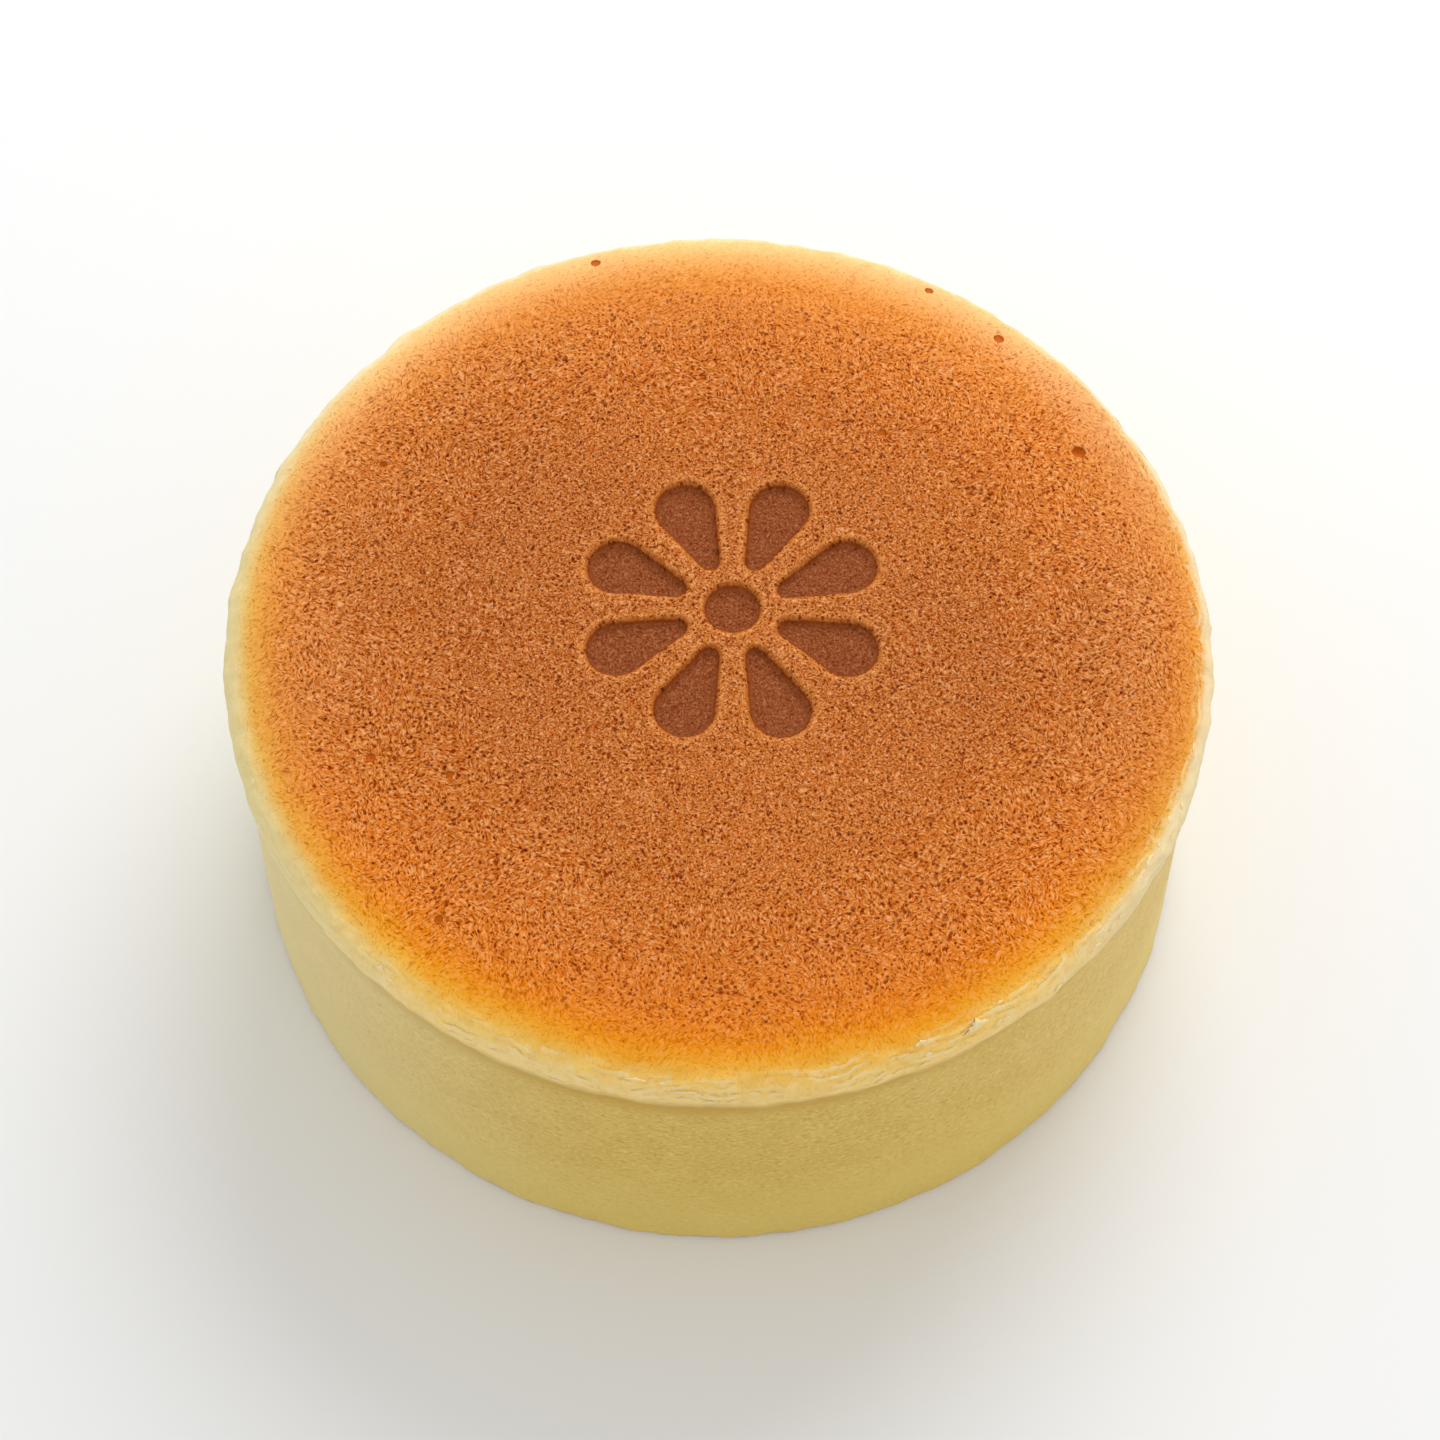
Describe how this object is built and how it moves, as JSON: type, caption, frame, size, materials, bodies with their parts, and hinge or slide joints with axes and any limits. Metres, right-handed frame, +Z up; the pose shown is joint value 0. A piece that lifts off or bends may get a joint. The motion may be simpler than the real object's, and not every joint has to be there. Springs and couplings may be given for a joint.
{
  "type": "cheesecake",
  "caption": "Tall round airy baked cheesecake, whole and uncut, with a browned pitted top, pale crumb wall, slightly overhanging rim and a flower pressed into the crust.",
  "frame": {"origin": "centre of the cake's flat underside", "axes": "+Z up through the middle of the cake; the side that faces the picture's camera is towards -Y"},
  "size_m": [0.1526, 0.1529, 0.0635],
  "materials": {
    "baked_crust": "matte browned crust, orange near the rim",
    "pale_crumb": "matte, dense, slightly moist pale yellow crumb"
  },
  "bodies": {
    "root": {"cheesecake": "baked_crust"}
  },
  "joints": []
}
